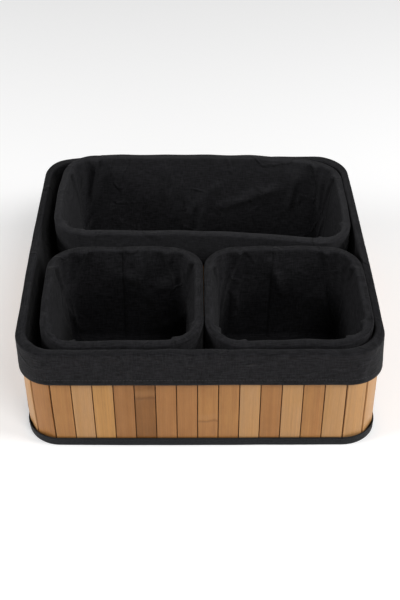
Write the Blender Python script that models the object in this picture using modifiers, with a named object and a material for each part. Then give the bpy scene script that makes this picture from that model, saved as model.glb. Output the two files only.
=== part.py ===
"""A nested set of bamboo storage baskets, in metres, +Z up, front towards -Y.

One low square tray basket holds three lift-out baskets: a long one along its back
wall and two near-square ones side by side in front of it. All four are built the same
way. A mat of bamboo slats glued on backing cloth is bent into a ring with round
corners, both edges of the ring are bound with tape, a cloth-covered board closes the
bottom, and a loose cloth liner drops in and folds out over the rim as a deep cuff.

Each basket is modelled around its own centre, standing on z = 0, and an empty carries
it to its place. Layers are counted outwards from the slats' outer face: a layer at
+1 mm lies 1 mm outside it, and a layer at -1 mm lies 1 mm inside it.
"""

import math
from dataclasses import dataclass

import bmesh
import bpy
from mathutils import Vector

# Driving dimensions: the tray basket, measured over its slats.
TRAY_WIDTH = 0.342
TRAY_DEPTH = 0.342
TRAY_HEIGHT = 0.1215  # from the floor to the top of the folded rim
TRAY_CORNER = 0.032
TRAY_CUFF = 0.038  # how far the folded liner hangs down outside

# The three lift-out baskets. Their other sizes follow from the tray's inside.
BASKET_HEIGHT = 0.1195
BASKET_CUFF = 0.036
SQUARE_DEPTH = 0.152
SIDE_PLAY = 0.0118  # free width beside the long basket, at the tray's left wall
MIDDLE_PLAY = 0.0048  # free width between the two square baskets
ROW_PLAY = 0.0116  # free depth between the front row and the long basket
WALL_CLEARANCE = 0.0006  # between a basket's cuff and the tray's liner

# The bamboo mat.
SLAT_PITCH = 0.020  # the width aimed at: each ring takes a whole number of slats
SLAT_THICKNESS = 0.0024
GROOVE_WIDTH = 0.0012
GROOVE_DEPTH = 0.0014
GROOVE_SHIFT = -0.0013  # where a groove meets the middle of the front

# Cloth, tape and board.
BACKING_THICKNESS = 0.0006
TAPE_THICKNESS = 0.0006
TAPE_OUTSIDE = 0.0104  # height of the bottom tape on the outside
TAPE_UNDERNEATH = 0.009  # how far the bottom tape runs in under the base
TOP_TAPE_LEG = 0.007  # height of the top tape on both sides of the mat
BASE_CLOTH_THICKNESS = 0.0006
BOARD_THICKNESS = 0.003
LINER_THICKNESS = 0.0012
RIM_ROUNDING = 0.001
TAPE_EASE = 0.0002  # more air under the tapes outside, where they pass the slats' corners
STANDOFF = 0.0005  # air behind the mat, where flat slats cut across the corners

GAP = 0.0003  # air between two pieces that touch
CORNER_STEPS = 6  # flat facets in a cloth corner
CHORD_TRIES = 24  # places tried for the slat that cuts furthest across a corner

# Layers, outwards from the slats' outer face.
TAPE_FACE = GAP + TAPE_EASE + TAPE_THICKNESS
CUFF_FACE = TAPE_FACE + GAP + LINER_THICKNESS
BACKING_BACK = -(SLAT_THICKNESS + GAP + BACKING_THICKNESS)
INNER_TAPE_BACK = BACKING_BACK - STANDOFF
INNER_TAPE_FACE = INNER_TAPE_BACK - TAPE_THICKNESS
LINER_BACK = INNER_TAPE_FACE - GAP
LINER_FACE = LINER_BACK - LINER_THICKNESS

# Heights above the surface that a basket stands on.
MAT_BOTTOM = TAPE_THICKNESS + GAP
BOARD_BOTTOM = MAT_BOTTOM + BASE_CLOTH_THICKNESS + GAP
LINER_BOTTOM = BOARD_BOTTOM + BOARD_THICKNESS + GAP
BASKET_FLOOR = LINER_BOTTOM + LINER_THICKNESS

COLLECTION_NAME = "bamboo_basket_set"
SIDES = ("front", "right", "back", "left")

# Name: base colour, roughness, metallic.
FINISHES = {
    "bamboo": ((0.50, 0.29, 0.13, 1.0), 0.45, 0.0),
    "liner_cloth": ((0.022, 0.022, 0.025, 1.0), 0.95, 0.0),
    "binding_tape": ((0.016, 0.017, 0.022, 1.0), 0.70, 0.0),
    "backing_cloth": ((0.10, 0.09, 0.08, 1.0), 0.95, 0.0),
    "base_board": ((0.30, 0.20, 0.12, 1.0), 0.80, 0.0),
}


@dataclass
class Basket:
    """One basket: its sizes over the slats, and where its middle stands."""

    name: str
    width: float
    depth: float
    height: float
    corner: float
    cuff: float
    x: float = 0.0
    y: float = 0.0
    z: float = 0.0

    @property
    def mat_top(self):
        return self.height - LINER_THICKNESS - 2 * GAP - TAPE_THICKNESS


def clear_scene():
    for obj in list(bpy.data.objects):
        bpy.data.objects.remove(obj, do_unlink=True)


def make_materials():
    materials = {}
    for name, (color, roughness, metallic) in FINISHES.items():
        material = bpy.data.materials.new(name)
        material.use_nodes = True
        shader = material.node_tree.nodes["Principled BSDF"]
        shader.inputs["Base Color"].default_value = color
        shader.inputs["Roughness"].default_value = roughness
        shader.inputs["Metallic"].default_value = metallic
        materials[name] = material
    return materials


def lay_out_baskets():
    """The tray, then the three baskets that fill its inside up to the named play."""
    tray = Basket("tray", TRAY_WIDTH, TRAY_DEPTH, TRAY_HEIGHT, TRAY_CORNER, TRAY_CUFF)
    room_x = TRAY_WIDTH / 2 + LINER_FACE - WALL_CLEARANCE
    room_y = TRAY_DEPTH / 2 + LINER_FACE - WALL_CLEARANCE
    floor = BASKET_FLOOR + GAP
    corner = inner_corner(tray) - CUFF_FACE

    square_depth = SQUARE_DEPTH + 2 * CUFF_FACE
    square_width = (2 * room_x - SIDE_PLAY - MIDDLE_PLAY) / 2
    long_width = 2 * room_x - SIDE_PLAY
    long_depth = 2 * room_y - square_depth - ROW_PLAY

    def basket(name, outer_width, outer_depth, right_edge, y):
        return Basket(
            name,
            outer_width - 2 * CUFF_FACE,
            outer_depth - 2 * CUFF_FACE,
            BASKET_HEIGHT,
            corner,
            BASKET_CUFF,
            right_edge - outer_width / 2,
            y,
            floor,
        )

    back_y = room_y - long_depth / 2
    front_y = square_depth / 2 - room_y
    left_edge = room_x - square_width - MIDDLE_PLAY
    return [
        tray,
        basket("long", long_width, long_depth, room_x, back_y),
        basket("left", square_width, square_depth, left_edge, front_y),
        basket("right", square_width, square_depth, room_x, front_y),
    ]


def ring_length(basket):
    """Length round the slats' inner face, where the mat is cut to."""
    width = basket.width - 2 * SLAT_THICKNESS
    depth = basket.depth - 2 * SLAT_THICKNESS
    radius = basket.corner - SLAT_THICKNESS
    return 2 * (width + depth) - (8 - 2 * math.pi) * radius


def ring_point(basket, distance):
    """Point on the slats' inner face, and the direction of travel there.

    The distance runs anticlockwise from the middle of the front."""
    radius = basket.corner - SLAT_THICKNESS
    half_x = basket.width / 2 - SLAT_THICKNESS - radius
    half_y = basket.depth / 2 - SLAT_THICKNESS - radius
    distance = (distance + half_x) % ring_length(basket)
    arc = radius * math.pi / 2
    corners = ((half_x, -half_y), (half_x, half_y), (-half_x, half_y), (-half_x, -half_y))
    for turn, (corner, straight) in enumerate(zip(corners, (half_x, half_y) * 2)):
        heading = turn * math.pi / 2
        along = Vector((math.cos(heading), math.sin(heading)))
        outward = Vector((math.sin(heading), -math.cos(heading)))
        centre = Vector(corner)
        if distance <= 2 * straight:
            return centre + radius * outward + (distance - 2 * straight) * along, heading
        distance -= 2 * straight
        if distance <= arc:
            angle = distance / radius
            spoke = math.cos(angle) * outward + math.sin(angle) * along
            return centre + radius * spoke, heading + angle
        distance -= arc
    return centre + radius * along, 2 * math.pi


def slat_count(basket):
    return round(ring_length(basket) / SLAT_PITCH)


def slat_edges(basket):
    """Both edges of every slat on its back, each with its direction of travel."""
    count = slat_count(basket)
    pitch = ring_length(basket) / count
    edges = [ring_point(basket, GROOVE_SHIFT + i * pitch) for i in range(count)]
    return list(zip(edges, edges[1:] + edges[:1]))


def mat_panels(basket):
    """Runs of neighbouring slats: one run for each side, and one for each corner."""
    runs = []
    for start, end in slat_edges(basket):
        straight = abs(math.sin(end[1] - start[1])) < 1e-6
        quarter = start[1] / (math.pi / 2)
        if straight:
            name = SIDES[round(quarter) % 4]
        else:
            first = math.floor(quarter + 1e-6) % 4
            name = f"{SIDES[first]}_{SIDES[(first + 1) % 4]}"
        if runs and runs[-1][0] == name:
            runs[-1][1].append((start[0], end[0]))
        else:
            runs.append((name, [(start[0], end[0])]))
    # The front was entered half way along, so its last run joins its first.
    if len(runs) > 1 and runs[0][0] == runs[-1][0]:
        name, last = runs.pop()
        runs[0] = (name, last + runs[0][1])
    return runs


def panel_outline(slats):
    """Outline of a run of slats: a groove in front between each two, one flat back."""
    front = []
    for number, (start, end) in enumerate(slats):
        along = (end - start).normalized()
        outward = Vector((along.y, -along.x))
        first, last = number == 0, number == len(slats) - 1
        near = GAP / 2 if first else GROOVE_WIDTH / 2
        far = GAP / 2 if last else GROOVE_WIDTH / 2
        front.append(start + near * along + SLAT_THICKNESS * outward)
        front.append(end - far * along + SLAT_THICKNESS * outward)
        if not last:
            front.append(end + (SLAT_THICKNESS - GROOVE_DEPTH) * outward)
        if first:
            back = [start + near * along]
        if last:
            back.append(end - far * along)
        else:
            back.append(end)
    return front + drop_straight_points(back)[::-1]


def drop_straight_points(points):
    """The same run of points without those that lie on a straight line."""
    kept = points[:1]
    for point, following in zip(points[1:], points[2:]):
        before, after = point - kept[-1], following - point
        if abs(before.cross(after)) > 1e-6 * before.length * after.length:
            kept.append(point)
    return kept + points[-1:]


def inset_polygon(points, distance):
    """A convex anticlockwise polygon with every side moved inwards."""
    moved = []
    for before, point, after in zip(points[-1:] + points[:-1], points, points[1:] + points[:1]):
        first = (point - before).normalized()
        second = (after - point).normalized()
        inward = Vector((-first.y - second.y, first.x + second.x))
        moved.append(point + inward * distance / (1 + first.dot(second)))
    return moved


def backing_outline(basket, inset):
    """The mat's back moved inwards: straight along the sides, chords in the corners."""
    points = [start[0] for start, _ in slat_edges(basket)]
    closed = drop_straight_points(points + points[:1])[:-1]
    return inset_polygon(closed, inset)


def inner_corner(basket):
    """Corner radius of the layers inside the mat.

    The slats are flat, so their backs cut across the corner. A slat may start on the
    straight side and end part of the way round the corner. Of the places that it could
    take, this is the radius with which a layer at INNER_TAPE_BACK clears the worst."""
    radius = basket.corner - SLAT_THICKNESS
    pitch = ring_length(basket) / slat_count(basket)
    layers = -BACKING_BACK - SLAT_THICKNESS + GAP
    needed = 0.0
    for number in range(1, CHORD_TRIES + 1):
        turn = number / CHORD_TRIES * pitch / radius
        lead = pitch - radius * turn
        lean = math.atan2(radius * (1 - math.cos(turn)), radius * math.sin(turn) + lead)
        chord = radius * math.cos(lean) - lead * math.sin(lean) - layers
        spread = math.cos(lean) + math.sin(lean)
        reach = (basket.corner + INNER_TAPE_BACK) * spread
        needed = max(needed, (reach - chord) / (spread - 1))
    return needed


def cloth_outline(basket, layer):
    """Rounded rectangle of a soft layer, anticlockwise."""
    radius = basket.corner + layer if layer > 0 else inner_corner(basket)
    half_x = basket.width / 2 + layer - radius
    half_y = basket.depth / 2 + layer - radius
    points = []
    for turn, (x, y) in enumerate(((1, -1), (1, 1), (-1, 1), (-1, -1))):
        for step in range(CORNER_STEPS + 1):
            angle = (turn - 1 + step / CORNER_STEPS) * math.pi / 2
            spoke = Vector((math.cos(angle), math.sin(angle)))
            points.append(Vector((x * half_x, y * half_y)) + radius * spoke)
    return points


def add_plate(name, outlines, bottom, height, material, parent):
    """An upright-walled piece from a flat outline; a second outline is its hole."""
    curve = bpy.data.curves.new(name, "CURVE")
    curve.dimensions = "2D"
    curve.fill_mode = "BOTH"
    curve.extrude = height / 2
    for outline in outlines:
        spline = curve.splines.new("POLY")
        spline.points.add(len(outline) - 1)
        for point, place in zip(spline.points, outline):
            point.co = (place.x, place.y, 0, 1)
        spline.use_cyclic_u = True
    piece = bpy.data.objects.new(name, curve)
    piece.location.z = bottom + height / 2
    return finish_piece(piece, material, parent)


def add_folded_cloth(name, basket, profile, thickness, material, parent):
    """A band of cloth that runs round the basket, from a profile of (layer, height).

    Its face is on the left of the profile's direction, and it thickens to the right."""
    shell = bmesh.new()
    rings = []
    for layer, height in profile:
        outline = cloth_outline(basket, layer)
        rings.append([shell.verts.new((point.x, point.y, height)) for point in outline])
    for lower, upper in zip(rings, rings[1:]):
        for i in range(len(lower)):
            before = i - 1
            shell.faces.new((upper[before], upper[i], lower[i], lower[before]))
    mesh = bpy.data.meshes.new(name)
    shell.to_mesh(mesh)
    shell.free()
    piece = bpy.data.objects.new(name, mesh)
    solidify = piece.modifiers.new("Thickness", "SOLIDIFY")
    solidify.thickness = thickness
    solidify.offset = -1
    solidify.use_even_offset = True
    return finish_piece(piece, material, parent)


def finish_piece(piece, material, parent):
    piece.data.materials.append(material)
    piece.parent = parent
    bpy.data.collections[COLLECTION_NAME].objects.link(piece)
    return piece


def add_empty(name, place, parent=None):
    empty = bpy.data.objects.new(name, None)
    empty.empty_display_size = 0.03
    empty.location = place
    empty.parent = parent
    bpy.data.collections[COLLECTION_NAME].objects.link(empty)
    return empty


def add_slat_mat(basket, materials, parent):
    height = basket.mat_top - MAT_BOTTOM
    for side, slats in mat_panels(basket):
        name = f"{basket.name}_slats_{side}"
        outline = panel_outline(slats)
        add_plate(name, [outline], MAT_BOTTOM, height, materials["bamboo"], parent)
    ring = [
        backing_outline(basket, GAP),
        backing_outline(basket, GAP + BACKING_THICKNESS),
    ]
    name = f"{basket.name}_backing_cloth"
    add_plate(name, ring, MAT_BOTTOM, height, materials["backing_cloth"], parent)


def add_tapes(basket, materials, parent):
    top = basket.mat_top + GAP + TAPE_THICKNESS
    over_the_edge = [
        (INNER_TAPE_FACE, top - TOP_TAPE_LEG),
        (INNER_TAPE_FACE, top),
        (TAPE_FACE, top),
        (TAPE_FACE, top - TOP_TAPE_LEG),
    ]
    under_the_edge = [
        (TAPE_FACE, TAPE_OUTSIDE),
        (TAPE_FACE, 0.0),
        (-TAPE_UNDERNEATH, 0.0),
    ]
    for name, profile in (("top_tape", over_the_edge), ("bottom_tape", under_the_edge)):
        name = f"{basket.name}_{name}"
        add_folded_cloth(name, basket, profile, TAPE_THICKNESS, materials["binding_tape"], parent)


def add_base(basket, materials, parent):
    outline = [cloth_outline(basket, INNER_TAPE_FACE)]
    cloth = f"{basket.name}_base_cloth"
    board = f"{basket.name}_base_board"
    add_plate(
        cloth, outline, MAT_BOTTOM, BASE_CLOTH_THICKNESS, materials["liner_cloth"], parent
    )
    add_plate(board, outline, BOARD_BOTTOM, BOARD_THICKNESS, materials["base_board"], parent)


def add_liner(basket, materials, parent):
    """The wall band folds over the rim as the cuff, and the floor is sewn inside it."""
    top = basket.height
    wall_and_cuff = [
        (LINER_FACE, LINER_BOTTOM),
        (LINER_FACE, top - RIM_ROUNDING),
        (LINER_FACE + RIM_ROUNDING, top),
        (CUFF_FACE - RIM_ROUNDING, top),
        (CUFF_FACE, top - RIM_ROUNDING),
        (CUFF_FACE, top - basket.cuff),
    ]
    cloth = materials["liner_cloth"]
    wall = f"{basket.name}_liner_wall"
    floor = f"{basket.name}_liner_floor"
    add_folded_cloth(wall, basket, wall_and_cuff, LINER_THICKNESS, cloth, parent)
    outline = [cloth_outline(basket, LINER_FACE - GAP)]
    add_plate(floor, outline, LINER_BOTTOM, LINER_THICKNESS, cloth, parent)


def build_basket(basket, materials, carrier):
    place = Vector((basket.x, basket.y, basket.z))
    frame = add_empty(f"{basket.name}_place", place, carrier)
    add_slat_mat(basket, materials, frame)
    add_tapes(basket, materials, frame)
    add_base(basket, materials, frame)
    liner = add_empty(f"{basket.name}_liner_place", (0, 0, 0), frame)
    add_liner(basket, materials, liner)
    return liner


def main():
    clear_scene()
    collection = bpy.data.collections.new(COLLECTION_NAME)
    bpy.context.scene.collection.children.link(collection)
    materials = make_materials()
    tray, *lift_out = lay_out_baskets()
    tray_liner = build_basket(tray, materials, None)
    for basket in lift_out:
        build_basket(basket, materials, tray_liner)


main()
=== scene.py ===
# %% [markdown]
# # A nested set of bamboo storage baskets
#
# One low square tray basket holds three lift-out baskets: a long one along its back
# and two near-square ones in front of it. Each basket is a mat of bamboo slats bent
# into a ring, with tape round both edges, a board for a bottom, and a black cotton
# liner that drops in and folds out over the rim as a deep cuff.
#
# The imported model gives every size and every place. This script builds the looks
# around it: single slats, folded and creased cloth, bent tape and rows of stitches.

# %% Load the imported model
import math
from dataclasses import dataclass, replace
from random import Random

import bpy
import numpy as np
from mathutils import Matrix, Vector


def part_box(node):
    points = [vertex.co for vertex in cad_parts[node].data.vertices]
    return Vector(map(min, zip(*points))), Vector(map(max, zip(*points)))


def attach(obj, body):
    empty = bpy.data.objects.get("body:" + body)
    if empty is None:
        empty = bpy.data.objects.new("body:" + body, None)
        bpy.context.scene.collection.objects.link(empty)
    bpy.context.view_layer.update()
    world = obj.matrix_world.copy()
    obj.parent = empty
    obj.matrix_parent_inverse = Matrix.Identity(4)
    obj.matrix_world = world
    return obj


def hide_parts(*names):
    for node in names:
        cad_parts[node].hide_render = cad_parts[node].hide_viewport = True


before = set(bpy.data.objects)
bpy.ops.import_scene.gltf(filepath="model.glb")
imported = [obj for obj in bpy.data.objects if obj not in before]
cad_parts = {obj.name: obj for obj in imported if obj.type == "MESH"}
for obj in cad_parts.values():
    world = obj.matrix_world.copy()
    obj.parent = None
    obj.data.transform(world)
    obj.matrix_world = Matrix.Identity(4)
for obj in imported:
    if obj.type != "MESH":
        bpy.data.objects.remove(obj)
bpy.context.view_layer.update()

# %% [markdown]
# ## Measure the four baskets
#
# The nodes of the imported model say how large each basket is. A layer is a distance
# outwards from the slats' outer face: the cuff hangs in front of it, at a layer above
# zero, and the backing, the tapes and the liner lie behind it, below zero. A corner's
# radius is what the straight part of a node's front edge leaves of its width.

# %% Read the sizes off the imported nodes
CLOTH = 0.0012  # thickness of the liner
TAPE = 0.0006  # thickness of the binding tape and of the backing cloth
SLAT = 0.0024  # thickness of a bamboo slat
AIR = 0.0003  # between two pieces that touch


@dataclass
class Basket:
    """One basket in the frame: its middle, half sizes over the slats, and heights."""

    name: str
    middle: np.ndarray
    half: np.ndarray
    corner: float
    cuff_layer: float
    liner_layer: float
    base: float
    mat: tuple
    top: float
    hem: float
    floor: float

    @property
    def body(self):
        return self.name if self.name == "tray" else self.name + "_basket"


def corner_radius(node):
    low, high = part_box(node)
    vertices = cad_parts[node].data.vertices
    straight = [v.co.x for v in vertices if v.co.y < low.y + 1e-5]
    return (high.x - low.x - max(straight) + min(straight)) / 2


def measure(name):
    front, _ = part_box(f"{name}_slats_front")
    left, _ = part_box(f"{name}_slats_left")
    _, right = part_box(f"{name}_slats_right")
    _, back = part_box(f"{name}_slats_back")
    low, high = np.array((left.x, front.y)), np.array((right.x, back.y))
    cuff_low, cuff_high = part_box(f"{name}_liner_wall")
    floor_low, floor_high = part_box(f"{name}_liner_floor")
    cuff_layer = cuff_high.x - right.x
    # The lowest outermost vertex of the wall band is the hem of its cuff.
    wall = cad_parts[f"{name}_liner_wall"].data.vertices
    hem = min(v.co.z for v in wall if v.co.x > cuff_high.x - 1e-5)
    return Basket(
        name,
        (low + high) / 2,
        (high - low) / 2,
        corner_radius(f"{name}_liner_wall") - cuff_layer,
        cuff_layer,
        floor_high.x + AIR - right.x,
        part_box(f"{name}_bottom_tape")[0].z,
        (front.z, right.z),
        cuff_high.z,
        hem,
        floor_low.z,
    )


baskets = {name: measure(name) for name in ("tray", "long", "left", "right")}
tray = baskets["tray"]
for basket in baskets.values():
    sizes = ", ".join(f"{v * 1000:.1f}" for v in (*(2 * basket.half), basket.top))
    print(f"{basket.name}: {sizes} mm, corner {basket.corner * 1000:.1f} mm")

# %% [markdown]
# ## The plan of a ring
#
# Slats, tape and cloth all follow the same rounded rectangle, so one function gives
# the place and the outward direction at any distance round it, counted anticlockwise
# from the middle of the front. It works on whole numpy arrays at once. Layers share
# the same stations, so a sheet can pass from the inside of the rim to the outside
# without its threads sliding round the corner. An inner basket's liner is sewn as a
# box with tight corners and a floor smaller than its rim, so a ring deep inside has a
# smaller radius. Near the rim it opens out to the round corners of the slats.

# %% A place round the ring
RIM_TIGHTER = 0.008  # how much less a rim's inside corner is than the slats'
BOX_LEAN = 0.0058  # how far a liner's walls lean in, down to its floor
BOX_CORNER = 0.010  # corner radius there


def ring_radius(basket, layer):
    """Corner radius of a layer: wide over the slats, tight where the liner is a box."""
    inside = basket.corner
    if basket.name != "tray":
        layers = (basket.liner_layer - BOX_LEAN, basket.liner_layer, 0.0)
        radii = (BOX_CORNER, basket.corner - RIM_TIGHTER, basket.corner)
        inside = np.interp(layer, layers, radii)
    return inside + np.maximum(layer, 0.0)


def ring_length(basket, layer):
    radius = ring_radius(basket, layer)
    return 4 * (basket.half.sum() + 2 * layer - 2 * radius) + 2 * math.pi * radius


def ring_place(basket, distance, layer, measured_at=None):
    """(x, y, outward x, outward y) at this distance round the layer's ring."""
    rule = layer if measured_at is None else measured_at
    radius = ring_radius(basket, rule)
    straight = 2 * (basket.half + rule - radius)
    arc = radius * math.pi / 2
    steps = [0, straight[0] / 2, arc, straight[1], arc, straight[0], arc]
    stops = np.cumsum(steps + [straight[1], arc, straight[0] / 2])
    distance = np.asarray(distance) % stops[-1]
    across = np.interp(distance, stops, (0, 1, 1, 1, 1, -1, -1, -1, -1, 0))
    deep = np.interp(distance, stops, (-1, -1, -1, 1, 1, 1, 1, -1, -1, -1))
    turn = np.interp(distance, stops, np.array((-1, -1, 0, 0, 1, 1, 2, 2, 3, 3)))
    turn = turn * math.pi / 2
    radius = ring_radius(basket, layer)
    out_x, out_y = np.cos(turn), np.sin(turn)
    x = basket.middle[0] + across * (basket.half[0] + layer - radius) + radius * out_x
    y = basket.middle[1] + deep * (basket.half[1] + layer - radius) + radius * out_y
    return x, y, out_x, out_y


print(f"tray ring: {ring_length(tray, 0) * 1000:.0f} mm round the slats")

# %% [markdown]
# ## How the baskets stand
#
# Bamboo rings are never quite square, and cloth rims never quite level. The tray's
# foot spreads at the right, its right rear corner is pulled in, and its back wall bows
# out a little. The long basket's rim runs down at its right end, where its front wall
# bulges forwards. The small baskets' rims dip near their front left corners, and their
# walls lean towards each other until the gap between them is a slit. The bends stay
# within the air between two baskets, so their cuffs don't cut into each other. Every
# piece of a basket is bent by the same function, so its layers keep apart too.

# %% Bend a basket's pieces together
MM = 0.001
SOFTENING = (-0.16, -0.08, 0.0, 0.08, 0.16)  # a knot's corner is averaged over these
SPILL = 1.02  # how far past the slats a bend still grows, as a share of the half size


def bend(place, knots):
    """A soft curve through a few (place, millimetres) knots, in metres."""
    places, values = zip(*knots)
    curves = [np.interp(place + shift, places, values) for shift in SOFTENING]
    return sum(curves) / len(curves) * MM


# Across a basket a place runs from -1 at its left to 1 at its right; from front to
# back, from -1 to 1.
TRAY_LEFT = ((-1.0, 0.9), (-0.7, 1.3), (-0.3, -0.6), (0.2, -1.2), (1.0, -0.9))
TRAY_RIGHT = ((-1.0, 0.8), (-0.4, 1.4), (0.2, 0.3), (0.7, -0.8), (1.0, -1.9))
TRAY_BACK = ((-1.0, 0.0), (-0.6, 1.4), (0.0, 2.0), (0.7, 2.2), (1.0, 0.3))
TRAY_FOOT = {"left": -0.8, "right": 3.6}
LONG_RIM = ((-1.0, 4.6), (0.0, 4.2), (0.45, 2.4), (0.8, -2.6), (1.0, -5.0))
LONG_FRONT = ((-1, 0.6), (-0.5, 0.5), (0.0, -0.6), (0.35, -4.0), (0.6, -6.6), (1, -5.6))
LONG_BACK = ((-1.0, 0.3), (-0.6, 1.4), (0.0, 2.0), (0.7, 1.9), (1.0, 0.2))
LONG_LEFT = ((-1.0, 0.0), (-0.4, -1.4), (0.1, -2.2), (0.6, 0.6), (1.0, 3.0))
LONG_RIGHT = ((-1.0, -2.0), (-0.6, -0.9), (0.0, 0.2), (0.5, -0.3), (1.0, -1.5))
LEFT_FRONT_RIM = ((-1, -3.0), (-0.5, -3.4), (0, -0.6), (0.35, -2.0), (0.7, -1.0), (1, 0))
RIGHT_FRONT_RIM = ((-1, -3.2), (-0.5, -3.4), (-0.1, -1.4), (0.1, 0), (0.4, -1), (1, -0.4))
SMALL_REAR_RIM = -2.0
LEFT_BASKET_SIDE = ((-1.0, 3.0), (-0.6, 2.6), (-0.2, 0.5), (0.3, 0.0), (1.0, -1.4))
GAP_SIDES = {"left": 1.3, "right": -3.0}  # how the walls beside the middle gap lean
RIGHT_BASKET_SIDE = ((-1.0, 1.2), (0.0, 1.8), (0.6, 1.3), (1.0, 0.3))
TRAY_FRONT_LEFT = 2.0  # how far that corner of the tray's foot is drawn in


def settle(basket, points):
    """Bends points of a basket, an array of x, y, z, as the real basket stands."""
    moved = np.array(points, float)
    x, y, z = moved.reshape(-1, 3).T
    across = np.clip((x - basket.middle[0]) / basket.half[0], -SPILL, SPILL)
    deep = np.clip((y - basket.middle[1]) / basket.half[1], -SPILL, SPILL)
    up = np.clip((z - basket.base) / (basket.top - basket.base), 0, 1.1)
    front, back = np.clip(-deep, 0, 1) ** 2, np.clip(deep, 0, 1) ** 2
    left, right = np.clip(-across, 0, 1) ** 3, np.clip(across, 0, 1) ** 3
    if basket.name == "tray":
        below = np.clip(1 - z / tray.top, 0, 1)
        foot = below**0.7 * (0.5 - deep / 2)
        x = x + left * bend(deep, TRAY_LEFT) * up + right * bend(deep, TRAY_RIGHT) * up
        x = x + (TRAY_FOOT["right"] * right - TRAY_FOOT["left"] * left) * foot * MM
        drawn = left * np.clip(-deep, 0, 1) ** 3 * below**4 * TRAY_FRONT_LEFT * MM
        x, y = x + drawn, y + drawn
        y = y + back * bend(across, TRAY_BACK) * up
    elif basket.name == "long":
        y = y + up * (front * bend(across, LONG_FRONT) + back * bend(across, LONG_BACK))
        x = x + up * (left * bend(deep, LONG_LEFT) + right * bend(deep, LONG_RIGHT))
        z = z + up * bend(across, LONG_RIM)
    else:
        rim = LEFT_FRONT_RIM if basket.name == "left" else RIGHT_FRONT_RIM
        z = z + up * (front * bend(across, rim) + back * SMALL_REAR_RIM * MM)
        lean = GAP_SIDES[basket.name] * MM
        if basket.name == "left":
            x = x + up * (right * lean + left * bend(deep, LEFT_BASKET_SIDE))
        else:
            x = x + up * (left * lean + right * bend(deep, RIGHT_BASKET_SIDE))
    return np.stack((x, y, z), axis=1).reshape(np.shape(moved))


print("tray back bows out", round(float(bend(0.0, TRAY_BACK)) * 1000, 1), "mm")

# %% [markdown]
# ## A small bench for nodes
#
# Node trees are easier to read as sums than as wires. A Wire wraps one socket and
# overloads the arithmetic signs, so `1 - mask * 0.3` adds its Math nodes by itself.
# Any other node comes from Bench.add, which takes the type, the values or links of
# the sockets, and the settings. The same bench builds materials and Geometry Nodes.

# %% Wire and Bench
class Wire:
    """A socket that takes part in sums."""

    def __init__(self, bench, socket):
        self.bench = bench
        self.socket = socket

    def math(self, operation, *values):
        return self.bench.add("ShaderNodeMath", values, operation=operation)

    def __add__(self, other):
        return self.math("ADD", self, other)

    def __sub__(self, other):
        return self.math("SUBTRACT", self, other)

    def __rsub__(self, other):
        return self.math("SUBTRACT", other, self)

    def __mul__(self, other):
        return self.math("MULTIPLY", self, other)

    def __truediv__(self, other):
        return self.math("DIVIDE", self, other)

    def __rtruediv__(self, other):
        return self.math("DIVIDE", other, self)

    def __lt__(self, other):
        return self.math("LESS_THAN", self, other)

    __radd__ = __add__
    __rmul__ = __mul__

    def absolute(self):
        return self.math("ABSOLUTE", self)

    def sine(self):
        return self.math("SINE", self)

    def fade(self, low, high):
        """0 at low and 1 at high, with soft ends."""
        values = {"Value": self, "From Min": low, "From Max": high}
        kind = {"interpolation_type": "SMOOTHSTEP"}
        return self.bench.add("ShaderNodeMapRange", values, **kind)


class Bench:
    """Adds nodes to one tree."""

    def __init__(self, tree):
        self.tree = tree

    def add(self, kind, values=(), out=0, stops=(), **settings):
        node = self.tree.nodes.new(kind)
        for name, setting in settings.items():
            setattr(node, name, setting)
        if stops:
            ramp = node.color_ramp
            while len(ramp.elements) < len(stops):
                ramp.elements.new(0.5)
            for element, (place, color) in zip(ramp.elements, stops):
                element.position = place
                element.color = (*color, 1.0)
        pairs = values.items() if isinstance(values, dict) else enumerate(values)
        for name, value in pairs:
            self.feed(node.inputs[name], value)
        return Wire(self, node.outputs[out])

    def feed(self, socket, value):
        if isinstance(value, Wire):
            self.tree.links.new(value.socket, socket)
        elif isinstance(value, tuple) and socket.type == "RGBA":
            socket.default_value = (*value, 1.0)
        else:
            socket.default_value = value

    def mix(self, share, first, second, blend="MIX"):
        """Between two colours, or colour wires."""
        values = {0: share, 6: first, 7: second}
        settings = {"data_type": "RGBA", "blend_type": blend}
        return self.add("ShaderNodeMix", values, out=2, **settings)

    def vector(self, operation, *values):
        return self.add("ShaderNodeVectorMath", values, operation=operation)


print("bench ready")

# %% [markdown]
# ## Camera, floor and light
#
# The set stands on a plain pale floor. The camera looks down on it from the front
# with a short telephoto lens. The light is that of a small product studio: a softbox
# on each side, the right one stronger, a weaker one high in front, pale walls, and a
# paper floor that is lit a little from underneath, so that it stays white.

# %% Place the camera
CAMERA_PITCH = 0.677  # radians below the horizon
CAMERA_TURN = -0.005
CAMERA_DISTANCE = 1.1325
LOOK_AT = Vector((0.0019, 0.0, 0.0459))
LENS = 62.42


def place_camera():
    lens = bpy.data.cameras.new("camera")
    lens.lens = LENS
    lens.sensor_width = 36.0
    camera = bpy.data.objects.new("camera", lens)
    bpy.context.scene.collection.objects.link(camera)
    ahead = Vector((0, math.cos(CAMERA_PITCH), -math.sin(CAMERA_PITCH)))
    turn = Matrix.Rotation(CAMERA_TURN, 3, "Z")
    camera.location = turn @ (LOOK_AT - CAMERA_DISTANCE * ahead)
    camera.rotation_euler = (math.pi / 2 - CAMERA_PITCH, 0, CAMERA_TURN)
    lens.clip_start, lens.clip_end = 0.05, 40
    bpy.context.scene.camera = camera
    return camera


camera = place_camera()
print("camera at", [round(v, 3) for v in camera.location])


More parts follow.
